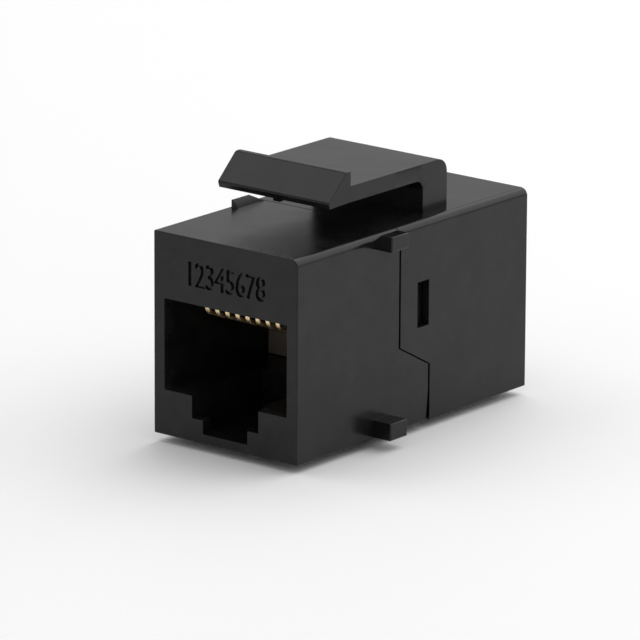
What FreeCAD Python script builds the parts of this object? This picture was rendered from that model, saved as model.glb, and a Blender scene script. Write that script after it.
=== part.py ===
import FreeCAD, Part
import math
import os
import re
import Sketcher

# A straight-through coupler that snaps into a panel cut-out: two moulded half housings, one plug port at
# each end, a circuit board across the middle and eight contact strips on each side of it.
# Millimetres. X is across, Y runs from the front port to the rear port, Z is up. The origin is on the
# flat underside, at the middle of its length and width.

doc = FreeCAD.newDocument("coupler")
sheet = doc.addObject("Spreadsheet::Sheet", "sizes")

# The driving dimensions: alias, value and what it measures
DIMENSIONS = (
    ("length", 29.2, "front face to rear face"),
    ("width", 14.5, "side to side, without the ears"),
    ("height", 16.5, "underside to top, without the latch"),
    ("wall", 1.35, "side wall"),
    ("roof_wall", 1.2, "wall over the contact carriers"),
    ("face_wall", 1.0, "end wall that the port opens through"),
    ("face_edge", 0.08, "rounding round an end face"),
    ("top_round", 0.65, "rounding of the long upper edge on the right"),
    ("edge_round", 0.12, "rounding of the other three long edges"),
    ("port_floor", 4.0, "underside to the floor of the port"),
    ("port_rise", 6.85, "height of the port"),
    ("port_lead", 0.3, "how far the mouth of the port opens out"),
    ("lead_depth", 0.9, "length of the mouth's lead-in"),
    ("step_width", 6.7, "width of the latch way's upper step"),
    ("step_floor", 1.9, "underside to the upper step"),
    ("slot_width", 4.5, "width of the latch way's lower step"),
    ("slot_floor", 0.78, "underside to the lower step"),
    ("way_depth", 8.6, "length of the latch way behind the end face"),
    ("core_wall", 1.1, "wall left round the hollows in the floor"),
    ("seam_upper", 12.65, "front face to the seam, upper run"),
    ("seam_lower", 16.43, "front face to the seam, lower run"),
    ("knee_upper", 6.7, "height where the seam starts to slant"),
    ("knee_lower", 4.65, "height where the slant ends"),
    ("seam_gap", 0.2, "open seam between the housings"),
    ("splay", 0.25, "how much wider the seam is at the underside"),
    ("splay_rise", 2.4, "height where the seam starts to widen"),
    ("lip_length", 0.8, "lip of the front housing inside the rear one"),
    ("ear_front", 9.3, "front face to the panel stop"),
    ("ear_length", 2.1, "thickness of an ear along the coupler"),
    ("ear_reach", 1.9, "how far an ear stands out sideways"),
    ("ear_rise", 1.25, "height of the upper ear"),
    ("ear_top", 0.25, "how far the upper ear stands above the top"),
    ("ear_flat", 1.1, "flat top of the upper ear, from its outer end"),
    ("ear_fall", 1.14, "fall of the upper ear's slope to the housing"),
    ("ear_base", 1.4, "height of a lower ear"),
    ("ear_foot", 0.23, "underside to a lower ear"),
    ("ear_edge", 0.12, "rounding of an ear's outer edges"),
    ("rib_inset", 0.14, "left side to the rib on the top"),
    ("rib_wide", 0.12, "flat top of the rib"),
    ("rib_slope", 0.25, "how far the rib's inner side slopes"),
    ("rib_rise", 0.6, "height of the rib above the top"),
    ("rib_end", 0.15, "end of the rib's ramp to the seam"),
    ("catch_front", 6.3, "front face to the start of the fixed catch"),
    ("catch_length", 1.7, "length of the fixed catch"),
    ("catch_land", 0.5, "flat tip of the fixed catch"),
    ("catch_drop", 0.7, "depth of the fixed catch below the underside"),
    ("catch_width", 11.0, "width of the fixed catch"),
    ("window_near", 15.0, "front face to the front edge of a side window"),
    ("window_length", 1.45, "length of a side window"),
    ("window_foot", 7.9, "underside to a side window"),
    ("window_rise", 3.7, "height of a side window"),
    ("tongue_skin", 0.55, "thickness of a snap tongue"),
    ("tongue_tail", 0.7, "tongue beyond the window"),
    ("barb", 0.5, "height of the barb on a tongue"),
    ("barb_land", 0.18, "flat top of the barb"),
    ("snap_play", 0.12, "clearance round a tongue and its barb"),
    ("play", 0.06, "clearance between pieces that seat in each other"),
    ("latch_width", 11.2, "width of the keystone latch"),
    ("latch_gap", 2.65, "top of the housing to the latch's underside"),
    ("latch_plate", 1.3, "thickness of the latch's arm"),
    ("latch_tip", 5.8, "front face to the tip of the latch"),
    ("nose_blunt", 0.17, "how far the nose's blunt end leans forward"),
    ("nose_lift", 0.4, "tip of the nose above the latch's underside"),
    ("nose_drop", 0.1, "foot of the nose below the latch's underside"),
    ("nub_near", 0.45, "tip of the latch to the nub under it"),
    ("nub_length", 0.45, "length of the nub"),
    ("nub_wide", 0.7, "width of the nub"),
    ("nub_drop", 0.22, "depth of the nub below the latch's underside"),
    ("crest_near", 8.0, "front face to the front of the crest"),
    ("crest_far", 8.55, "front face to the back of the crest"),
    ("crest_rise", 1.17, "crest above the latch's arm"),
    ("crest_round", 0.15, "rounding of the crest and the nose"),
    ("root_front", 17.65, "front face to the front of the latch's root"),
    ("root_length", 3.1, "thickness of the latch's root"),
    ("root_outer", 1.15, "rounding over the root"),
    ("root_inner", 0.85, "rounding under the arm at the root"),
    ("flex_back", 1.75, "line the arm bends about, in front of the root"),
    ("flex_play", 0.08, "clearance at the bending line"),
    ("board_thick", 1.2, "thickness of the circuit board"),
    ("board_hole", 0.37, "radius of a hole for a contact tail"),
    ("pitch", 1.02, "spacing of the contacts"),
    ("strip_wide", 0.4, "width of a contact strip"),
    ("strip_thick", 0.3, "thickness of a contact strip"),
    ("strip_bend", 0.62, "centre-line radius of the front bend"),
    ("strip_jog", 0.4, "centre-line radius of the bends by the board"),
    ("bend_front", 2.2, "end face to the centre line of the front bend"),
    ("run_lift", 0.8, "port roof to the upper run of a contact"),
    ("run_drop", 0.8, "port roof to the lower end of the front bend"),
    ("tail_lift", 1.55, "upper run to the upper row of tails"),
    ("jog_back", 3.44, "board to where the upper row's strips rise"),
    ("tip_seat", 0.5, "free end of a contact inside the comb"),
    ("tip_drop", 4.9, "port roof to the free end of a contact"),
    ("slot_play", 0.08, "clearance each side of a contact in its slot"),
    ("comb_wall", 1.54, "thickness of the wall that ends a port"),
    ("comb_depth", 1.0, "depth of the comb's slots"),
    ("comb_play", 0.62, "room in the comb below a contact's free end"),
)
ALIASES = set()
for row, (alias, value, meaning) in enumerate(DIMENSIONS, start=1):
    sheet.set(f"A{row}", meaning)
    sheet.set(f"B{row}", str(value))
    sheet.setAlias(f"B{row}", alias)
    ALIASES.add(alias)
doc.recompute()

CONTACTS = 8
CLOSE = 1e-4
HALF_TURN = FreeCAD.Rotation(FreeCAD.Vector(0, 0, 1), 180)


def formula(text):
    """Point every alias in an expression at the sheet."""
    return re.sub(r"[a-z_]+", lambda word: f"sizes.{word[0]}" if word[0] in ALIASES else word[0], text)


def measure(text):
    """Work an expression out with the sheet's values."""
    result = sheet.evalExpression(formula(text))
    return float(getattr(result, "Value", result))


# Places that several pieces share, as expressions on the sheet
FACE = "(-length / 2)"
INNER = "(width / 2 - wall)"
ROOF = "(port_floor + port_rise)"
BAY_TOP = "(height - roof_wall)"
SEAM_UPPER = f"({FACE} + seam_upper)"
SEAM_LOWER = f"({FACE} + seam_lower)"
BOARD_FACE = "(-board_thick / 2)"
COMB = f"({BOARD_FACE} - play - comb_wall)"
JOG = f"({BOARD_FACE} - jog_back)"
UPPER_RUN = f"({ROOF} + run_lift)"
UPPER_TAIL = f"({UPPER_RUN} + tail_lift)"
ARM_UNDER = "(height + latch_gap)"
ARM_TOP = f"({ARM_UNDER} + latch_plate)"
FLEX_Y = f"({FACE} + root_front - flex_back)"
FLEX_Z = f"({ARM_UNDER} + latch_plate / 2)"
WINDOW_NEAR = f"({FACE} + window_near)"
WINDOW_FAR = f"({WINDOW_NEAR} + window_length)"
PAST = "1"


def new_body(name):
    body = doc.addObject("PartDesign::Body", name)
    body.Label = name
    return body


def origin_part(body, role):
    return next(part for part in body.Origin.OriginFeatures if part.Role == role)


def sketch_on(body, name, role, shift):
    """A sketch on one of the body's own planes, moved along the plane's normal."""
    sketch = body.newObject("Sketcher::SketchObject", name)
    sketch.AttachmentSupport = [(origin_part(body, role), "")]
    sketch.MapMode = "FlatFace"
    sketch.setExpression("AttachmentOffset.Base.z", formula(shift))
    return sketch


def fix_point(sketch, index, end, place):
    """Hold one point of a sketch at a pair of expressions."""
    for kind, text in zip(("DistanceX", "DistanceY"), place):
        number = sketch.addConstraint(Sketcher.Constraint(kind, -1, 1, index, end, measure(text)))
        sketch.setExpression(f"Constraints[{number}]", formula(text))


def rounding_ends(before, corner, after, radius):
    """Tangent points and centre of a rounding at a corner."""
    back = (before - corner).normalize()
    ahead = (after - corner).normalize()
    half = back.getAngle(ahead) / 2
    reach = radius / math.tan(half)
    centre = corner + (back + ahead).normalize() * (radius / math.sin(half))
    return corner + back * reach, corner + ahead * reach, centre


def draw(sketch, corners, closed=True):
    """Straight runs from corner to corner. A corner is (u, v) or (u, v, rounding)."""
    points = [FreeCAD.Vector(measure(corner[0]), measure(corner[1]), 0) for corner in corners]
    count = len(corners)
    rounded = {}
    for i, corner in enumerate(corners):
        if len(corner) == 3:
            rounded[i] = rounding_ends(points[i - 1], points[i], points[(i + 1) % count], measure(corner[2]))
    lines = []
    for i in range(count if closed else count - 1):
        j = (i + 1) % count
        start = rounded[i][1] if i in rounded else points[i]
        finish = rounded[j][0] if j in rounded else points[j]
        lines.append(sketch.addGeometry(Part.LineSegment(start, finish)))
    for i, corner in enumerate(corners):
        into = lines[i - 1] if closed or i > 0 else None
        out = lines[i] if i < len(lines) else None
        if i in rounded:
            round_corner(sketch, into, out, corner, rounded[i])
        elif out is not None:
            fix_point(sketch, out, 1, corner)
            if into is not None:
                sketch.addConstraint(Sketcher.Constraint("Coincident", into, 2, out, 1))
        else:
            fix_point(sketch, into, 2, corner)


def round_corner(sketch, into, out, corner, ends):
    """An arc tangent to two lines that would meet at the corner."""
    start, finish, centre = ends
    spoke_in, spoke_out = start - centre, finish - centre
    anticlockwise = spoke_in.cross(spoke_out).z > 0
    first, last = (spoke_in, spoke_out) if anticlockwise else (spoke_out, spoke_in)
    circle = Part.Circle(centre, FreeCAD.Vector(0, 0, 1), spoke_in.Length)
    turn_a, turn_b = math.atan2(first.y, first.x), math.atan2(last.y, last.x)
    if turn_b < turn_a:
        turn_b += 2 * math.pi
    arc = sketch.addGeometry(Part.ArcOfCircle(circle, turn_a, turn_b))
    arc_in, arc_out = (1, 2) if anticlockwise else (2, 1)
    sketch.addConstraint(Sketcher.Constraint("Tangent", into, 2, arc, arc_in))
    sketch.addConstraint(Sketcher.Constraint("Tangent", arc, arc_out, out, 1))
    place = FreeCAD.Vector(measure(corner[0]), measure(corner[1]), 0)
    meeting = sketch.addGeometry(Part.Point(place), True)
    sketch.addConstraint(Sketcher.Constraint("PointOnObject", meeting, 1, into))
    sketch.addConstraint(Sketcher.Constraint("PointOnObject", meeting, 1, out))
    fix_point(sketch, meeting, 1, corner)
    number = sketch.addConstraint(Sketcher.Constraint("Radius", arc, spoke_in.Length))
    sketch.setExpression(f"Constraints[{number}]", formula(corner[2]))


def prism(body, kind, name, axis, low, high, fill):
    """Pad or pocket whatever fill draws, from low to high along an axis."""
    role, shift = {"x": ("YZ_Plane", low), "y": ("XZ_Plane", f"-({high})"), "z": ("XY_Plane", low)}[axis]
    sketch = sketch_on(body, f"{name}_outline", role, shift)
    fill(sketch)
    feature = body.newObject(f"PartDesign::{kind}", name)
    feature.Profile = sketch
    feature.setExpression("Length", formula(f"({high}) - ({low})"))
    feature.Reversed = kind == "Pocket"
    doc.recompute()
    return feature


def pad(body, name, axis, low, high, corners):
    return prism(body, "Pad", name, axis, low, high, lambda sketch: draw(sketch, corners))


def pocket(body, name, axis, low, high, corners):
    before = body.Tip.Shape.Volume
    feature = prism(body, "Pocket", name, axis, low, high, lambda sketch: draw(sketch, corners))
    if feature.Shape.Volume >= before:
        raise RuntimeError(f"{name} removes nothing")
    return feature


def ring(sketch, centre, radius):
    """A circle at a pair of expressions."""
    place = FreeCAD.Vector(measure(centre[0]), measure(centre[1]), 0)
    index = sketch.addGeometry(Part.Circle(place, FreeCAD.Vector(0, 0, 1), measure(radius)))
    fix_point(sketch, index, 3, centre)
    number = sketch.addConstraint(Sketcher.Constraint("Radius", index, measure(radius)))
    sketch.setExpression(f"Constraints[{number}]", formula(radius))


def box(low_u, low_v, high_u, high_v):
    return [(low_u, low_v), (high_u, low_v), (high_u, high_v), (low_u, high_v)]


def repeat(body, feature, name, count, spacing):
    """Copies of a feature along X."""
    pattern = body.newObject("PartDesign::LinearPattern", name)
    pattern.Originals = [feature]
    pattern.Direction = (origin_part(body, "X_Axis"), [""])
    pattern.Mode = "Spacing"
    pattern.Occurrences = count
    pattern.setExpression("Offset", formula(spacing))
    body.Tip = pattern
    doc.recompute()
    return pattern


def finish_edges(body, kind, name, size, chosen):
    """Fillet or chamfer the edges of the tip that the test picks."""
    tip = body.Tip
    names = [f"Edge{i}" for i, edge in enumerate(tip.Shape.Edges, start=1) if chosen(edge)]
    if not names:
        raise RuntimeError(f"{name} finds no edge")
    feature = body.newObject(f"PartDesign::{kind}", name)
    feature.Base = (tip, names)
    feature.setExpression("Radius" if kind == "Fillet" else "Size", formula(size))
    doc.recompute()
    return feature


def on_plane(edge, axis, place):
    """True for an edge that lies in the plane across an axis."""
    span = edge.BoundBox
    ends = {"x": (span.XMin, span.XMax), "y": (span.YMin, span.YMax), "z": (span.ZMin, span.ZMax)}[axis]
    return all(abs(end - place) < CLOSE for end in ends)


# Housings. Both are drawn with their port facing the front, and the rear one is then turned half round.
def moulded_block(body, back, left, right):
    """The outside of one housing, with the roundings of its two upper edges."""
    section = [("-width / 2", "0", "edge_round"), ("width / 2", "0", "edge_round"),
               ("width / 2", "height", right), ("-width / 2", "height", left)]
    pad(body, "block", "y", FACE, back, section)


def hollow_port(body, back):
    """The bay for plug and carrier, the mouth, the latch way and the hollows in the floor."""
    bay_front = f"{FACE} + face_wall"
    pocket(body, "bay", "y", bay_front, f"{back} + {PAST}", box(f"-{INNER}", "port_floor", INNER, BAY_TOP))
    half_step, half_slot = "step_width / 2", "slot_width / 2"
    mouth = [(f"-{INNER}", ROOF), (f"-{INNER}", "port_floor"), (f"-{half_step}", "port_floor"),
             (f"-{half_step}", "step_floor"), (f"-{half_slot}", "step_floor"),
             (f"-{half_slot}", "slot_floor"), (half_slot, "slot_floor"),
             (half_slot, "step_floor"), (half_step, "step_floor"),
             (half_step, "port_floor"), (INNER, "port_floor"), (INNER, ROOF)]
    pocket(body, "mouth", "y", f"{FACE} - {PAST}", bay_front, mouth)
    way = box(f"-{half_step}", "slot_floor", half_step, "port_floor")
    pocket(body, "latch_way", "y", bay_front, f"{FACE} + way_depth", way)
    for side in (-1, 1):
        near, far = f"{side} * (step_width / 2 + core_wall)", f"{side} * {INNER}"
        low, high = (near, far) if side > 0 else (far, near)
        hollow = box(low, "core_wall", high, "port_floor - core_wall")
        pocket(body, f"floor_hollow_{'left' if side < 0 else 'right'}", "y",
               f"{FACE} + core_wall", f"{back} + {PAST}", hollow)


def soften_face(body):
    """Open the mouth out and round the end face's rim."""
    face, inner = measure(FACE), measure(INNER)
    floor, roof = measure("port_floor"), measure(ROOF)
    corner, height = measure("width / 2 - top_round"), measure("height")

    def is_mouth(edge):
        middle = edge.BoundBox.Center
        inside = abs(middle.x) < inner + CLOSE and floor - CLOSE < middle.z < roof + CLOSE
        return on_plane(edge, "y", face) and inside

    def is_rim(edge):
        span = edge.BoundBox
        beside = max(abs(span.XMin), abs(span.XMax)) > corner - CLOSE
        return on_plane(edge, "y", face) and (beside or span.ZMax < CLOSE or span.ZMin > height - CLOSE)

    lead = finish_edges(body, "Chamfer", "mouth_lead", "port_lead", is_mouth)
    lead.ChamferType = "Two distances"
    lead.setExpression("Size2", formula("lead_depth"))
    doc.recompute()
    finish_edges(body, "Fillet", "face_rim", "face_edge", is_rim)


def add_ears(body):
    """The panel stops: three ears, and a low rib on the upper left edge that runs out to the seam."""
    near, far = f"{FACE} + ear_front", f"{FACE} + ear_front + ear_length"
    buried, outer = "width / 2 - wall / 2", "width / 2 + ear_reach"
    foot, top = "height + ear_top - ear_rise", "height + ear_top"
    upper = [(buried, foot), (outer, foot), (outer, top),
             (f"{outer} - ear_flat", top), (buried, f"{top} - ear_fall")]
    pad(body, "ear_upper_right", "y", near, far, upper)
    for name, low, high in (("ear_lower_right", buried, outer),
                            ("ear_lower_left", f"-({outer})", f"-({buried})")):
        pad(body, name, "y", near, far, box(low, "ear_foot", high, "ear_foot + ear_base"))
    ramp_end = f"{SEAM_UPPER} - rib_end"
    rib_out, rib_in = "(rib_inset - width / 2)", "(rib_inset + rib_wide + rib_slope - width / 2)"
    rib = [(rib_out, "height - roof_wall / 2"), (rib_in, "height - roof_wall / 2"), (rib_in, "height"),
           (f"{rib_in} - rib_slope", "height + rib_rise"), (rib_out, "height + rib_rise")]
    pad(body, "rib_upper_left", "y", near, ramp_end, rib)
    above = f"height + rib_rise + {PAST}"
    ramp = [(far, "height + rib_rise"), (ramp_end, "height"), (ramp_end, above), (far, above)]
    pocket(body, "rib_ramp", "x", "-width", rib_in, ramp)
    reach = measure(outer)
    finish_edges(body, "Fillet", "ear_edges", "ear_edge",
                 lambda edge: on_plane(edge, "x", reach) or on_plane(edge, "x", -reach))


def add_catch(body):
    """The fixed catch under the front, which goes behind the panel's lower edge first."""
    start = f"{FACE} + catch_front"
    back = f"{start} + catch_length"
    wedge = [(start, "core_wall / 2"), (start, "0"), (f"{back} - catch_land", "-catch_drop"),
             (back, "-catch_drop"), (back, "core_wall / 2")]
    pad(body, "fixed_catch", "x", "-catch_width / 2", "catch_width / 2", wedge)


def add_tongues(body):
    """A snap tongue from each side wall, with a barb that shows in the rear housing's window."""
    skin_in, skin_out = f"{INNER} + play", f"{INNER} + play + tongue_skin"
    foot, top = "window_foot - play", "window_foot + window_rise + play"
    start, end = f"{SEAM_UPPER} - wall", f"{WINDOW_FAR} + tongue_tail"
    bite = f"{WINDOW_NEAR} + play"
    for side, word in ((-1, "left"), (1, "right")):
        blade = box(f"{side} * ({skin_in})", start, f"{side} * ({skin_out})", end)
        pad(body, f"tongue_{word}", "z", foot, top, blade)
        buried, proud = f"{side} * ({skin_out} - play)", f"{side} * ({skin_out} + barb)"
        hook = [(buried, bite), (proud, bite), (proud, f"{bite} + barb_land"),
                (buried, f"{WINDOW_FAR} - play")]
        pad(body, f"barb_{word}", "z",
            "window_foot + snap_play", "window_foot + window_rise - snap_play", hook)


def lip_band(start, reach, slack, sign):
    """The stretch of the housings' inner half wall that the lip takes up, as a side view."""
    upper, lower = (f"{sign}({place} {start})" for place in (SEAM_UPPER, SEAM_LOWER))
    upper_end, lower_end = (f"{sign}({place} {reach})" for place in (SEAM_UPPER, SEAM_LOWER))
    foot, top = f"wall / 2 - {slack}", f"height - roof_wall / 2 + {slack}"
    return [(upper, top), (upper, "knee_upper"), (lower, "knee_lower"), (lower, foot),
            (lower_end, foot), (lower_end, "knee_lower"), (upper_end, "knee_upper"), (upper_end, top)]


def make_front_housing():
    body = new_body("front_housing")
    moulded_block(body, SEAM_LOWER, "edge_round", "top_round")
    above, below, beyond = f"height + {PAST}", f"-{PAST}", f"{SEAM_LOWER} + {PAST}"
    behind = [(SEAM_UPPER, above), (SEAM_UPPER, "knee_upper"), (SEAM_LOWER, "knee_lower"),
              (SEAM_LOWER, "splay_rise"), (f"{SEAM_LOWER} - splay", "0"), (f"{SEAM_LOWER} - splay", below),
              (beyond, below), (beyond, above)]
    pocket(body, "seam", "x", "-width", "width", behind)
    lip_side = "width / 2 - wall / 2"
    pad(body, "lip", "x", f"-({lip_side})", lip_side, lip_band("- wall", "+ lip_length", "0", ""))
    hollow_port(body, f"{SEAM_LOWER} + lip_length")
    soften_face(body)
    add_ears(body)
    add_catch(body)
    add_tongues(body)


def make_rear_housing():
    body = new_body("rear_housing")
    upper, lower = f"(-{SEAM_UPPER} - seam_gap)", f"(-{SEAM_LOWER} - seam_gap)"
    closed, brow = f"(-{SEAM_UPPER} - play)", "height - top_round"
    moulded_block(body, closed, "top_round", "edge_round")
    hollow_port(body, closed)
    behind = [(lower, f"-{PAST}"), (lower, "knee_lower"), (upper, "knee_upper"), (upper, brow),
              (f"{closed} + {PAST}", brow), (f"{closed} + {PAST}", f"-{PAST}")]
    pocket(body, "seam", "x", "-width", "width", behind)
    rebate = "width / 2 - wall / 2 + play"
    hollow = lip_band("- seam_gap", "+ lip_length + play", "play", "-")
    pocket(body, "lip_rebate", "x", f"-({rebate})", rebate, hollow)
    soften_face(body)
    cut_windows(body, closed)
    add_latch_root(body)
    body.Placement = FreeCAD.Placement(FreeCAD.Vector(), HALF_TURN)


def cut_windows(body, seam):
    """The channel inside each side wall for a tongue, and the window its barb snaps into."""
    foot, top = "window_foot - play - snap_play", "window_foot + window_rise + play + snap_play"
    channel = box(f"-({WINDOW_FAR} + tongue_tail + snap_play)", foot, f"{seam} + {PAST}", top)
    window = box(f"-{WINDOW_FAR}", "window_foot", f"-{WINDOW_NEAR}", "window_foot + window_rise")
    depth = f"{INNER} + tongue_skin + snap_play"
    for side, word in ((-1, "left"), (1, "right")):
        deep = (f"-({depth})", f"-({INNER} - play)") if side < 0 else (f"{INNER} - play", depth)
        out = (f"-width / 2 - {PAST}", f"-{INNER}") if side < 0 else (INNER, f"width / 2 + {PAST}")
        pocket(body, f"tongue_channel_{word}", "x", deep[0], deep[1], channel)
        pocket(body, f"window_{word}", "x", out[0], out[1], window)


def add_latch_root(body):
    """The root that carries the latch, with a hollow end that the arm's round heel turns in."""
    front, back = f"-({FACE} + root_front)", f"-({FACE} + root_front + root_length)"
    foot = "height - roof_wall / 2"
    root = [(back, foot), (back, ARM_TOP, "root_outer"), (f"-{FLEX_Y}", ARM_TOP), (f"-{FLEX_Y}", ARM_UNDER),
            (front, ARM_UNDER, "root_inner"), (front, foot)]
    pad(body, "latch_root", "x", "-latch_width / 2", "latch_width / 2", root)
    prism(body, "Pocket", "heel_seat", "x", "-latch_width", "latch_width",
          lambda sketch: ring(sketch, (f"-{FLEX_Y}", FLEX_Z), "latch_plate / 2 + flex_play"))


# The keystone latch: a broad arm with a wedge across its end that snaps over the panel's upper edge
def make_latch():
    body = new_body("keystone_latch")
    tip, crest_back = f"{FACE} + latch_tip", f"{FACE} + crest_far"
    arm = [(crest_back, ARM_UNDER), (f"{tip} + nose_blunt", f"{ARM_UNDER} - nose_drop"),
           (tip, f"{ARM_UNDER} + nose_lift", "crest_round"),
           (f"{FACE} + crest_near", f"{ARM_TOP} + crest_rise", "crest_round"),
           (crest_back, f"{ARM_TOP} + crest_rise"), (crest_back, ARM_TOP, "crest_round"),
           (FLEX_Y, ARM_TOP), (FLEX_Y, ARM_UNDER)]
    low, high = "-latch_width / 2", "latch_width / 2"
    pad(body, "arm", "x", low, high, arm)
    prism(body, "Pad", "heel", "x", low, high,
          lambda sketch: ring(sketch, (FLEX_Y, FLEX_Z), "latch_plate / 2"))
    nub = box(f"{tip} + nub_near", f"{ARM_UNDER} - nub_drop",
              f"{tip} + nub_near + nub_length", f"{ARM_UNDER} + nub_drop")
    pad(body, "nub", "x", "-nub_wide / 2", "nub_wide / 2", nub)


# Contact carriers: an angle of moulded plastic that roofs a port and closes its end
def make_carrier(name, turned):
    body = new_body(name)
    back = f"({BOARD_FACE} - play)"
    front = f"{FACE} + face_wall + play"
    angle = [(front, ROOF), (COMB, ROOF), (COMB, "port_floor + play"), (back, "port_floor + play"),
             (back, f"{BAY_TOP} - play"), (front, f"{BAY_TOP} - play")]
    pad(body, "angle", "x", f"-({INNER} - play)", f"{INNER} - play", angle)
    head = "strip_thick / 2 + slot_play"
    run = [(f"{front} - {PAST}", f"{ROOF} - {PAST}"), (COMB, f"{ROOF} - {PAST}"), (COMB, ROOF),
           (f"{back} + {PAST}", ROOF), (f"{back} + {PAST}", f"{UPPER_RUN} + {head}"),
           (f"{front} - {PAST}", f"{UPPER_RUN} + {head}")]
    rising = f"{JOG} - strip_jog"
    raised = run[:4] + [(f"{back} + {PAST}", f"{UPPER_TAIL} + {head}"), (rising, f"{UPPER_TAIL} + {head}"),
                        (rising, f"{UPPER_RUN} + {head}"), (f"{front} - {PAST}", f"{UPPER_RUN} + {head}")]
    half = "(strip_wide / 2 + slot_play)"
    for word, corners, first in (("low", run, 0), ("high", raised, 1)):
        centre = f"({first - (CONTACTS - 1) / 2} * pitch)"
        slot = pocket(body, f"{word}_slot", "x", f"{centre} - {half}", f"{centre} + {half}", corners)
        repeat(body, slot, f"{word}_slots", CONTACTS // 2, "pitch * 2")
    centre = f"({-(CONTACTS - 1) / 2} * pitch)"
    gap = box(f"{COMB} - {PAST}", f"{ROOF} - tip_drop - comb_play",
              f"{COMB} + comb_depth", f"{ROOF} - run_drop")
    notch = pocket(body, "comb_slot", "x", f"{centre} - {half}", f"{centre} + {half}", gap)
    repeat(body, notch, "comb", CONTACTS, "pitch")
    if turned:
        body.Placement = FreeCAD.Placement(FreeCAD.Vector(), HALF_TURN)


# Contacts: strips blanked from sheet, from the board over the port's roof, round and back into the comb
def make_contact(name, number, turned):
    body = new_body(name)
    tail = "board_thick / 2 - play"
    bend = f"{FACE} + bend_front"
    route = [(bend, UPPER_RUN, "strip_bend"), (bend, f"{ROOF} - run_drop", "strip_bend"),
             (f"{COMB} + tip_seat", f"{ROOF} - tip_drop")]
    if number % 2:
        start = [(tail, UPPER_RUN)]
    else:
        start = [(tail, UPPER_TAIL), (f"{JOG} + tail_lift", UPPER_TAIL, "strip_jog"),
                 (JOG, UPPER_RUN, "strip_jog")]
    spine = sketch_on(body, "route", "YZ_Plane", "0")
    draw(spine, start + route, closed=False)
    section = sketch_on(body, "section", "XZ_Plane", f"-({tail})")
    level = start[0][1]
    half_wide, half_thick = "strip_wide / 2", "strip_thick / 2"
    draw(section, box(f"-{half_wide}", f"{level} - {half_thick}", half_wide, f"{level} + {half_thick}"))
    doc.recompute()
    strip = body.newObject("PartDesign::AdditivePipe", "strip")
    strip.Profile = section
    strip.Spine = (spine, [f"Edge{i + 1}" for i in range(len(spine.Shape.Edges))])
    place = f"{number - (CONTACTS + 1) / 2} * pitch"
    if turned:
        body.Placement = FreeCAD.Placement(FreeCAD.Vector(), HALF_TURN)
        place = f"-({place})"
    body.setExpression("Placement.Base.x", formula(place))
    doc.recompute()


# Circuit board: stands on the floor across the middle, with two staggered rows of holes from each side
def make_board():
    body = new_body("circuit_board")
    half = f"{INNER} - play"
    pad(body, "plate", "y", BOARD_FACE, "board_thick / 2",
        box(f"-({half})", "port_floor + play", half, f"{BAY_TOP} - play"))

    def holes(sketch):
        for number in range(1, CONTACTS + 1):
            place = f"{number - (CONTACTS + 1) / 2} * pitch"
            for level in (UPPER_RUN, UPPER_TAIL):
                ring(sketch, (place, level), "board_hole")

    prism(body, "Pocket", "tail_holes", "y", f"{BOARD_FACE} - {PAST}", f"board_thick / 2 + {PAST}", holes)


make_front_housing()
make_rear_housing()
make_latch()
make_board()
for end, turned in (("front", False), ("rear", True)):
    make_carrier(f"{end}_contact_carrier", turned)
    for number in range(1, CONTACTS + 1):
        make_contact(f"{end}_contact_{number}", number, turned)
doc.recompute()

broken = [thing.Name for thing in doc.Objects if {"Invalid", "Error"} & set(thing.State)]
if broken:
    raise RuntimeError(f"failed: {broken}")
os.makedirs("parts", exist_ok=True)
for body in doc.findObjects("PartDesign::Body"):
    if body.Shape.isNull() or not body.Shape.isValid() or len(body.Shape.Solids) != 1:
        raise RuntimeError(f"{body.Label} is not one sound solid")
    body.Shape.exportStep(f"parts/{body.Label}.step")
    print(body.Label, round(body.Shape.Volume, 2))
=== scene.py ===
import math

import bpy
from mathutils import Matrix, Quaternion, Vector


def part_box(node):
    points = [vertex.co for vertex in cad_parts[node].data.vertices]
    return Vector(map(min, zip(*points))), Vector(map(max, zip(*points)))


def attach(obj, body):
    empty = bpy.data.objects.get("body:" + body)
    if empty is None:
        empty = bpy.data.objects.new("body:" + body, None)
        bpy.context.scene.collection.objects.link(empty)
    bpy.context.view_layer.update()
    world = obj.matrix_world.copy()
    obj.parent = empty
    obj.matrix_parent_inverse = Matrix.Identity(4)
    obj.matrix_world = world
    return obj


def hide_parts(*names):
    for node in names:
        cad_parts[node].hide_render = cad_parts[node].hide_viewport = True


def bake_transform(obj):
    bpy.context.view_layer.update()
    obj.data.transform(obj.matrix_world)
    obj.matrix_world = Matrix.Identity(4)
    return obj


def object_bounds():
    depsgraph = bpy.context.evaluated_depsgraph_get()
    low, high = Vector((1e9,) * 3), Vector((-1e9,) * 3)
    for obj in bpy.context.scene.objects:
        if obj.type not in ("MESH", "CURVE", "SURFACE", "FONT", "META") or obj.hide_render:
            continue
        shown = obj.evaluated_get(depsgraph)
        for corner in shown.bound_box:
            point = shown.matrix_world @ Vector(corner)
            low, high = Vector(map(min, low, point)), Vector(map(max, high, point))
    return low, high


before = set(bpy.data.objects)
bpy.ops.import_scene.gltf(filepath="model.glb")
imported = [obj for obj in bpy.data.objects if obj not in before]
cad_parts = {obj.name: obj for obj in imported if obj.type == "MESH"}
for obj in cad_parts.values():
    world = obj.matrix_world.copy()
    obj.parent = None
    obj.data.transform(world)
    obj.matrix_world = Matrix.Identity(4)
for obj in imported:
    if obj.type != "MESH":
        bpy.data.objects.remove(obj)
cad_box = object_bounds()

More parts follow.
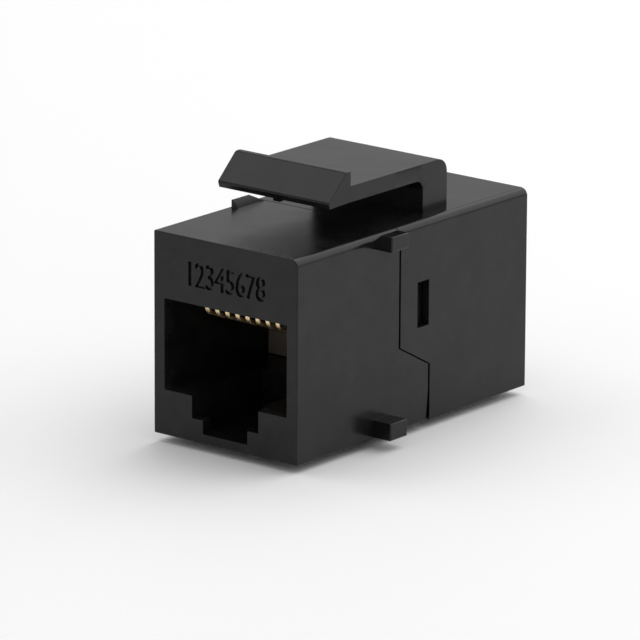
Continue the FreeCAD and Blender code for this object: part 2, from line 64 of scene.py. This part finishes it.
# Front housing: one injection-moulded half of the coupler's body, in satin black plastic, with the front
# port, the panel stops and the tongues that snap into the other half. The moulding has softly broken
# edges, and the contacts' numbers are sunk into its face, over the port.
MM = 0.001
MERGE_WITHIN, FLAT_WITHIN = 0.0005 * MM, math.radians(0.4)
FRONT_EDGE = 0.055 * MM
RIB_ABOVE, RIB_FOOT, RIB_MATCH, RIB_SPREAD = 16.49 * MM, -6.74 * MM, 0.002 * MM, 0.4 * MM
NUMBERS, MIDDLE_NUMBER = range(1, 9), 4.5
NUMBER_HEIGHT, NUMBER_NARROW, NUMBER_PITCH = 2.1 * MM, 0.74, 1.02 * MM
NUMBER_FOOT, NUMBER_DEPTH, NUMBER_BOLD = 12.6 * MM, 0.2 * MM, 0.05 * MM
DIGIT_SHARE, CURVE_STEPS = 0.73, 3
PLASTIC_BLACK = (0.0046, 0.0050, 0.0052, 1.0)
PLASTIC_WORN = (0.0108, 0.0102, 0.0102, 1.0)
PLASTIC_DUST = (0.032, 0.031, 0.030, 1.0)
NO_DUST, ALL_DUST = (0, 0, 0, 1), (1, 1, 1, 1)
BLACK_UP_TO, WORN_FROM = 0.34, 0.68
CLEAN_UP_TO, DUSTY_FROM = 0.74, 0.80
GRAIN_SIZE, MOTTLE_SIZE, WAVE_SIZE, DUST_SIZE = 0.09 * MM, 1.6 * MM, 7.0 * MM, 0.22 * MM
SATIN, SATIN_MOTTLE, SATIN_GRAIN = 0.16, 0.09, 0.05
GRAIN_RELIEF, WAVE_RELIEF, MOTTLE_RELIEF = 0.35, 9.0, 0.8


class Value:
    """A shader socket that sums and products can be written with."""

    def __init__(self, tree, socket=None):
        self.tree, self.socket = tree, socket

    def node(self, kind, settings, values, output=0):
        """Add a node: its settings first, then the numbers or links of its sockets."""
        made = self.tree.nodes.new(kind)
        for name, setting in settings.items():
            if name == "stops":
                for stop, (position, colour) in zip(made.color_ramp.elements, setting):
                    stop.position, stop.color = position, colour
            else:
                setattr(made, name, setting)
        for name, value in values.items():
            if isinstance(value, Value):
                self.tree.links.new(value.socket, made.inputs[name])
            else:
                made.inputs[name].default_value = value
        return Value(self.tree, made.outputs[output])

    def math(self, operation, other):
        return self.node("ShaderNodeMath", {"operation": operation}, {0: self, 1: other})

    def into(self, surface, name):
        """Link this value to one of the surface's sockets."""
        self.tree.links.new(self.socket, surface.inputs[name])

    def __add__(self, other):
        return self.math("ADD", other)

    def __mul__(self, other):
        return self.math("MULTIPLY", other)

    __radd__ = __add__
    __rmul__ = __mul__


def new_finish(name, **constants):
    """A material, its surface, and the Value that holds places on the piece in metres."""
    finish = bpy.data.materials.new(name)
    finish.use_nodes = True
    surface = finish.node_tree.nodes["Principled BSDF"]
    for socket, constant in constants.items():
        surface.inputs[socket.replace("_", " ")].default_value = constant
    place = Value(finish.node_tree).node("ShaderNodeTexCoord", {}, {}, output="Object")
    return finish, surface, place


def speckle(place, size, detail=2.0, stretch=None):
    """Cloudy noise whose blots are about a size, in metres, across."""
    if stretch:
        place = place.node("ShaderNodeMapping", {}, {"Vector": place, "Scale": stretch})
    return place.node("ShaderNodeTexNoise", {}, {"Vector": place, "Scale": 1 / size, "Detail": detail})


def blended(share, low, high):
    """A colour between two, by a share from 0 to 1."""
    return share.node("ShaderNodeMix", {"data_type": "RGBA"}, {0: share, 6: low, 7: high}, output=2)


def stepped(share, up_to, low, start, high):
    """A colour that is low up to one share and high from another."""
    return share.node("ShaderNodeValToRGB", {"stops": ((up_to, low), (start, high))}, {"Fac": share})


def emboss(height, surface, strength, distance):
    """Let a height show as relief on the surface, up to a distance in metres."""
    values = {"Strength": strength, "Distance": distance, "Height": height}
    height.node("ShaderNodeBump", {}, values).into(surface, "Normal")


def moulded_plastic():
    """Black plastic from a spark-eroded mould: fine grain, faint mottle, cooling waves and rare dust."""
    finish, surface, place = new_finish("moulded_black_plastic", IOR=1.48, Specular_IOR_Level=0.27)
    grain = speckle(place, GRAIN_SIZE, detail=3.0)
    mottle = speckle(place, MOTTLE_SIZE, detail=4.0)
    wave = speckle(place, WAVE_SIZE, detail=1.0)
    specks = speckle(place, DUST_SIZE, detail=1.0)
    cloudy = stepped(mottle, BLACK_UP_TO, PLASTIC_BLACK, WORN_FROM, PLASTIC_WORN)
    dusty = stepped(specks, CLEAN_UP_TO, NO_DUST, DUSTY_FROM, ALL_DUST)
    blended(dusty, cloudy, PLASTIC_DUST).into(surface, "Base Color")
    (SATIN + mottle * SATIN_MOTTLE + grain * SATIN_GRAIN).into(surface, "Roughness")
    relief = grain * GRAIN_RELIEF + wave * WAVE_RELIEF + mottle * MOTTLE_RELIEF
    emboss(relief, surface, strength=0.6, distance=0.012 * MM)
    return finish


def only(piece):
    """Select one object and make it the active one."""
    bpy.ops.object.select_all(action="DESELECT")
    piece.select_set(True)
    bpy.context.view_layer.objects.active = piece


def edit_all(piece):
    """Enter edit mode with the whole piece selected."""
    only(piece)
    bpy.ops.object.mode_set(mode="EDIT")
    bpy.ops.mesh.select_all(action="SELECT")


def done():
    """Leave edit mode."""
    bpy.ops.object.mode_set(mode="OBJECT")


def place_mesh():
    """Move the active object's place, turn and scale into its mesh."""
    bpy.ops.object.transform_apply(location=True, rotation=True, scale=True)


def moulded_copy(node):
    """A copy of a CAD node, with its loose triangles joined into flat faces."""
    piece = bpy.data.objects.new(f"{node}_moulding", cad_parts[node].data.copy())
    bpy.context.scene.collection.objects.link(piece)
    edit_all(piece)
    bpy.ops.mesh.remove_doubles(threshold=MERGE_WITHIN)
    bpy.ops.mesh.dissolve_limited(angle_limit=FLAT_WITHIN)
    done()
    if piece.data.has_custom_normals:
        bpy.ops.mesh.customdata_custom_splitnormals_clear()
    return piece


def break_edges(piece, width, steps=2, angle=38):
    """Round off every edge that is sharper than an angle."""
    only(piece)
    bevel = piece.modifiers.new("broken_edges", "BEVEL")
    bevel.width, bevel.segments = width, steps
    bevel.limit_method, bevel.angle_limit = "ANGLE", math.radians(angle)
    bevel.offset_type, bevel.use_clamp_overlap = "WIDTH", False
    bpy.ops.object.modifier_apply(modifier=bevel.name)


def smooth(piece, angle=32):
    """Smooth shading over the roundings that leaves the large faces flat."""
    only(piece)
    bpy.ops.object.shade_smooth_by_angle(angle=math.radians(angle))
    weighted = piece.modifiers.new("weighted", "WEIGHTED_NORMAL")
    weighted.keep_sharp, weighted.weight = True, 50
    bpy.ops.object.modifier_apply(modifier=weighted.name)


def dress(piece, finish):
    """Give a piece its one material."""
    piece.data.materials.clear()
    piece.data.materials.append(finish)


def combine(piece, tool, operation):
    """Join a tool on to a piece, or cut it out, and take the tool away."""
    only(piece)
    combined = piece.modifiers.new("combined", "BOOLEAN")
    combined.operation, combined.solver, combined.object = operation, "EXACT", tool
    bpy.ops.object.modifier_apply(modifier=combined.name)
    bpy.data.objects.remove(tool)


def cut_number(piece, text, middle):
    """Sink one plain number into a face that looks to the front."""
    bpy.ops.object.select_all(action="DESELECT")
    bpy.ops.object.text_add()
    number = bpy.context.object
    number.data.body, number.data.align_x = text, "CENTER"
    number.data.size = NUMBER_HEIGHT / DIGIT_SHARE
    number.data.extrude, number.data.resolution_u = NUMBER_DEPTH, CURVE_STEPS
    bpy.ops.object.convert(target="MESH")
    number.location, number.rotation_euler = middle, (math.radians(90), 0, 0)
    number.scale.x = NUMBER_NARROW
    place_mesh()
    edit_all(number)
    bpy.ops.mesh.remove_doubles(threshold=MERGE_WITHIN)
    bpy.ops.mesh.normals_make_consistent(inside=False)
    done()
    combine(piece, number, "DIFFERENCE")


black_plastic = moulded_plastic()
front = moulded_copy("front_housing")
for vertex in front.data.vertices:
    if vertex.co.z > RIB_ABOVE and abs(vertex.co.x - RIB_FOOT) < RIB_MATCH:
        vertex.co.x += RIB_SPREAD
break_edges(front, FRONT_EDGE)
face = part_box("front_housing")[0].y
for number in NUMBERS:
    across = NUMBER_PITCH * (number - MIDDLE_NUMBER)
    for shift in (-NUMBER_BOLD, NUMBER_BOLD):
        cut_number(front, str(number), (across + shift, face, NUMBER_FOOT))
smooth(front)
dress(front, black_plastic)
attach(front, "coupler")
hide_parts("front_housing")

# Rear housing: the other moulded half, with its own port and the snap windows. In the real part the
# keystone latch is one piece with it. Here the latch's root goes with the latch, so it is taken off.
REAR_EDGE = 0.055 * MM
ROOT_FOOT, FOOT_MATCH = 16.5 * MM, 0.01 * MM


def pick(piece, kind, test):
    """Enter edit mode with the vertices, edges or faces selected whose corners all pass a test."""
    only(piece)
    bpy.ops.object.mode_set(mode="EDIT")
    bpy.ops.mesh.select_mode(type=kind)
    bpy.ops.mesh.select_all(action="DESELECT")
    done()
    mesh = piece.data
    things = {"VERT": mesh.vertices, "EDGE": mesh.edges, "FACE": mesh.polygons}[kind]
    for thing in things:
        corners = [thing] if kind == "VERT" else [mesh.vertices[i] for i in thing.vertices]
        thing.select = all(test(corner.co) for corner in corners)
    bpy.ops.object.mode_set(mode="EDIT")


rear = moulded_copy("rear_housing")
pick(rear, "VERT", lambda place: place.z > ROOT_FOOT + FOOT_MATCH)
bpy.ops.mesh.delete(type="VERT")
bpy.ops.mesh.select_all(action="DESELECT")
bpy.ops.mesh.select_non_manifold()
bpy.ops.mesh.edge_face_add()
bpy.ops.mesh.select_all(action="SELECT")
bpy.ops.mesh.dissolve_limited(angle_limit=FLAT_WITHIN)
done()
break_edges(rear, REAR_EDGE)
smooth(rear)
dress(rear, black_plastic)
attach(rear, "coupler")
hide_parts("rear_housing")

# Keystone latch: a broad springy arm on a rounded root, moulded in one with the rear housing. It bends
# by its root when the wedge across its end is pressed down past the panel's edge. A small nub hangs
# under its nose.
LATCH_EDGE = 0.06 * MM
ARM_UNDER, ARM_TOP, CREST = 19.15 * MM, 20.45 * MM, 21.62 * MM
TIP, TIP_RISE, NOSE_BLUNT, NOSE_DROP = -8.8 * MM, 0.4 * MM, 0.17 * MM, 0.1 * MM
CREST_FRONT, CREST_BACK = -6.6 * MM, -6.05 * MM
ROOT_FRONT, ROOT_BACK, ROOT_SUNK = 3.05 * MM, 6.15 * MM, 0.25 * MM
OUTER_ROUND, INNER_ROUND, CREST_ROUND = 1.15 * MM, 0.85 * MM, 0.15 * MM
OUTER_STEPS, INNER_STEPS, CREST_STEPS = 9, 7, 3
NUB_NEAR, NUB_LENGTH, NUB_WIDE, NUB_DROP = 0.45 * MM, 0.45 * MM, 0.7 * MM, 0.4 * MM
BEND_BACK, BEND_FRONT, BEND_CUTS = 3.0 * MM, -0.6 * MM, 15
TOUCH = 0.001 * MM
WEDGE_MOVES = (
    (TIP, CREST, (0, CREST_FRONT - TIP, 0)),
    (TIP, ARM_TOP, (0, 0, ARM_UNDER + TIP_RISE - ARM_TOP)),
    (TIP, ARM_UNDER, (0, NOSE_BLUNT, -NOSE_DROP)),
)
ROUNDINGS = (
    (ROOT_BACK, ARM_TOP, OUTER_ROUND, OUTER_STEPS),
    (ROOT_FRONT, ARM_UNDER, INNER_ROUND, INNER_STEPS),
    (CREST_FRONT, CREST, CREST_ROUND, CREST_STEPS),
    (CREST_BACK, ARM_TOP, CREST_ROUND, CREST_STEPS),
    (TIP, ARM_UNDER + TIP_RISE, CREST_ROUND, CREST_STEPS),
)


def block(middle, size):
    """A plain block to start from, with its place in its mesh."""
    bpy.ops.object.select_all(action="DESELECT")
    bpy.ops.mesh.primitive_cube_add(size=1, location=middle, scale=size)
    place_mesh()
    return bpy.context.object


def near(a, b):
    """Whether two places on one axis are the same."""
    return abs(a - b) < TOUCH


def line_at(along, height):
    """A test for corners on the line that crosses the latch at a place along it and a height."""
    return lambda place: near(place.y, along) and near(place.z, height)


def extrude(rise):
    """Extrude the selected faces upwards, or downwards by a negative rise, and leave edit mode."""
    bpy.ops.mesh.extrude_region_move(TRANSFORM_OT_translate={"value": (0, 0, rise)})
    done()


def cut_across(piece, along):
    """Bisect a piece by a plane across Y."""
    edit_all(piece)
    bpy.ops.mesh.bisect(plane_co=(0, along, 0), plane_no=(0, 1, 0))
    done()


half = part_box("keystone_latch")[1].x
middle = (ARM_UNDER + ARM_TOP) / 2
latch = block((0, (TIP + ROOT_BACK) / 2, middle), (half * 2, ROOT_BACK - TIP, ARM_TOP - ARM_UNDER))
latch.name = "keystone_latch_moulding"
cut_across(latch, CREST_BACK)
cut_across(latch, ROOT_FRONT)
pick(latch, "FACE", lambda place: near(place.z, ARM_UNDER) and place.y > ROOT_FRONT - TOUCH)
extrude(ROOT_FOOT - ROOT_SUNK - ARM_UNDER)
pick(latch, "FACE", lambda place: near(place.z, ARM_TOP) and place.y < CREST_BACK + TOUCH)
extrude(CREST - ARM_TOP)
for along, height, move in WEDGE_MOVES:
    pick(latch, "VERT", line_at(along, height))
    bpy.ops.transform.translate(value=move)
    done()
for along, height, radius, steps in ROUNDINGS:
    pick(latch, "EDGE", line_at(along, height))
    bpy.ops.mesh.bevel(offset=radius, segments=steps, profile=0.5, affect="EDGES", clamp_overlap=False)
    done()
nub = block((0, TIP + NUB_NEAR + NUB_LENGTH / 2, ARM_UNDER), (NUB_WIDE, NUB_LENGTH, NUB_DROP * 2))
combine(latch, nub, "UNION")
break_edges(latch, LATCH_EDGE)
for step in range(BEND_CUTS + 1):
    cut_across(latch, BEND_BACK + (BEND_FRONT - BEND_BACK) * step / BEND_CUTS)
smooth(latch)
dress(latch, black_plastic)
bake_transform(latch)
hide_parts("keystone_latch")

# Contact carriers: a moulded angle at each port that roofs it and closes its end. Its slots and comb
# keep the contacts apart. It is an unpainted brown-grey plastic with a dull surface.
CARRIER_EDGE = 0.04 * MM
CARRIER_LIGHT = (0.150, 0.125, 0.104, 1.0)
CARRIER_DARK = (0.098, 0.082, 0.068, 1.0)
CARRIER_GRAIN, CARRIER_CLOUD = 0.12 * MM, 2.2 * MM
DULL, DULL_GRAIN, CLOUD_RELIEF = 0.42, 0.16, 2.0


def carrier_plastic():
    """Undyed moulding plastic: matt, finely grained and a little cloudy."""
    finish, surface, place = new_finish("brown_grey_plastic", IOR=1.5)
    grain = speckle(place, CARRIER_GRAIN, detail=3.0)
    cloud = speckle(place, CARRIER_CLOUD, detail=3.0)
    blended(cloud, CARRIER_DARK, CARRIER_LIGHT).into(surface, "Base Color")
    (DULL + grain * DULL_GRAIN).into(surface, "Roughness")
    emboss(grain + cloud * CLOUD_RELIEF, surface, strength=0.4, distance=0.01 * MM)
    return finish


dull_plastic = carrier_plastic()
for end in ("front", "rear"):
    node = f"{end}_contact_carrier"
    carrier = moulded_copy(node)
    break_edges(carrier, CARRIER_EDGE, steps=1)
    smooth(carrier)
    dress(carrier, dull_plastic)
    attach(carrier, "coupler")
    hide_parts(node)

# Contacts: eight strips of phosphor bronze in each port, stamped, bent back into the port so that they
# spring, and gold-plated over nickel. The plating is polished along the strip and a little brushed.
CONTACT_EDGE = 0.06 * MM
GOLD = (0.83, 0.62, 0.32, 1.0)
GOLD_PALE = (0.90, 0.74, 0.47, 1.0)
BRUSH_SIZE, BRUSH_STRETCH, GOLD_CLOUD = 0.5 * MM, (14.0, 1.0, 1.0), 1.1 * MM
POLISH, POLISH_BRUSH = 0.28, 0.2


def gold_plating():
    """Gold over nickel, brushed along the strip, and paler in clouds where it is thin."""
    finish, surface, place = new_finish("gold_plating", Metallic=1.0)
    brushed = speckle(place, BRUSH_SIZE, detail=4.0, stretch=BRUSH_STRETCH)
    cloud = speckle(place, GOLD_CLOUD)
    blended(cloud, GOLD, GOLD_PALE).into(surface, "Base Color")
    (POLISH + brushed * POLISH_BRUSH).into(surface, "Roughness")
    emboss(brushed, surface, strength=0.25, distance=0.004 * MM)
    return finish


plating = gold_plating()
for end in ("front", "rear"):
    for number in NUMBERS:
        node = f"{end}_contact_{number}"
        contact = moulded_copy(node)
        break_edges(contact, CONTACT_EDGE, steps=1, angle=50)
        smooth(contact, angle=40)
        dress(contact, plating)
        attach(contact, "coupler")
        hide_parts(node)

# Circuit board: stands between the two carriers, with plated holes for the contacts' tails. It is
# glass laminate under green solder mask.
MASK_GREEN = (0.012, 0.110, 0.045, 1.0)
MASK_LIGHT = (0.020, 0.170, 0.075, 1.0)
WEAVE_SIZE, WEAVE_STRETCH = 0.3 * MM, (1.0, 1.0, 3.0)
MASK_GLOSS, MASK_WEAVE = 0.25, 0.15


def solder_mask():
    """Green mask with a thin gloss, through which the glass weave shows."""
    finish, surface, place = new_finish("solder_mask", IOR=1.52, Coat_Weight=0.4)
    weave = speckle(place, WEAVE_SIZE, stretch=WEAVE_STRETCH)
    blended(weave, MASK_GREEN, MASK_LIGHT).into(surface, "Base Color")
    (MASK_GLOSS + weave * MASK_WEAVE).into(surface, "Roughness")
    emboss(weave, surface, strength=0.2, distance=0.01 * MM)
    return finish


dress(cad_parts["circuit_board"], solder_mask())

# Studio: a pale floor under the part, one very broad soft light from high behind it, a small one from
# its left, and the camera where the photograph was taken from.
FLOOR_REACH, FLOOR_GAP, FLOOR_ROUGH = 3.0, 0.01 * MM, 0.6
FLOOR_PALE = (0.96, 0.96, 0.96, 1.0)
WORLD_GREY = (0.57, 0.57, 0.57, 1.0)
LIGHT_AIM = (0, 0, 0.01)
BEHIND_PLACE, BEHIND_SIZE, BEHIND_POWER = (0.15, 0.40, 0.50), 1.0, 3.9
LEFT_PLACE, LEFT_SIZE, LEFT_POWER = (-0.45, -0.15, 0.60), 0.40, 0.6
CAMERA_PLACE = Vector((0.30879, -0.38531, 0.14559))
CAMERA_AIM = Vector((-0.002303, 0.0, 0.00693))
CAMERA_ROLL = math.radians(0.279)
CAMERA_LENS, CAMERA_SENSOR = 362.73, 36.0
CAMERA_NEAR, CAMERA_FAR = 0.02, 20.0

bpy.ops.object.select_all(action="DESELECT")
bpy.ops.mesh.primitive_plane_add(size=FLOOR_REACH, location=(0, 0, cad_box[0].z - FLOOR_GAP))
floor = bpy.context.object
floor.name = "floor"
paper = new_finish("pale_floor", Base_Color=FLOOR_PALE, Roughness=FLOOR_ROUGH)[0]
floor.data.materials.append(paper)

world = bpy.data.worlds.new("studio")
bpy.context.scene.world = world
world.use_nodes = True
world.node_tree.nodes["Background"].inputs["Color"].default_value = WORLD_GREY


def soft_light(name, place, size, power):
    """A square light that looks at the part."""
    bpy.ops.object.light_add(type="AREA", location=place)
    light = bpy.context.object
    light.name, light.data.size, light.data.energy = name, size, power
    light.rotation_mode = "QUATERNION"
    light.rotation_quaternion = (Vector(LIGHT_AIM) - Vector(place)).to_track_quat("-Z", "Y")


soft_light("behind", BEHIND_PLACE, BEHIND_SIZE, BEHIND_POWER)
soft_light("left", LEFT_PLACE, LEFT_SIZE, LEFT_POWER)

bpy.ops.object.camera_add(location=CAMERA_PLACE)
camera = bpy.context.object
facing = (CAMERA_AIM - CAMERA_PLACE).to_track_quat("-Z", "Y")
camera.rotation_mode = "QUATERNION"
camera.rotation_quaternion = facing @ Quaternion((0, 0, 1), CAMERA_ROLL)
camera.data.lens, camera.data.sensor_width = CAMERA_LENS, CAMERA_SENSOR
camera.data.clip_start, camera.data.clip_end = CAMERA_NEAR, CAMERA_FAR
bpy.context.scene.camera = camera
bpy.context.scene.view_settings.view_transform = "Standard"
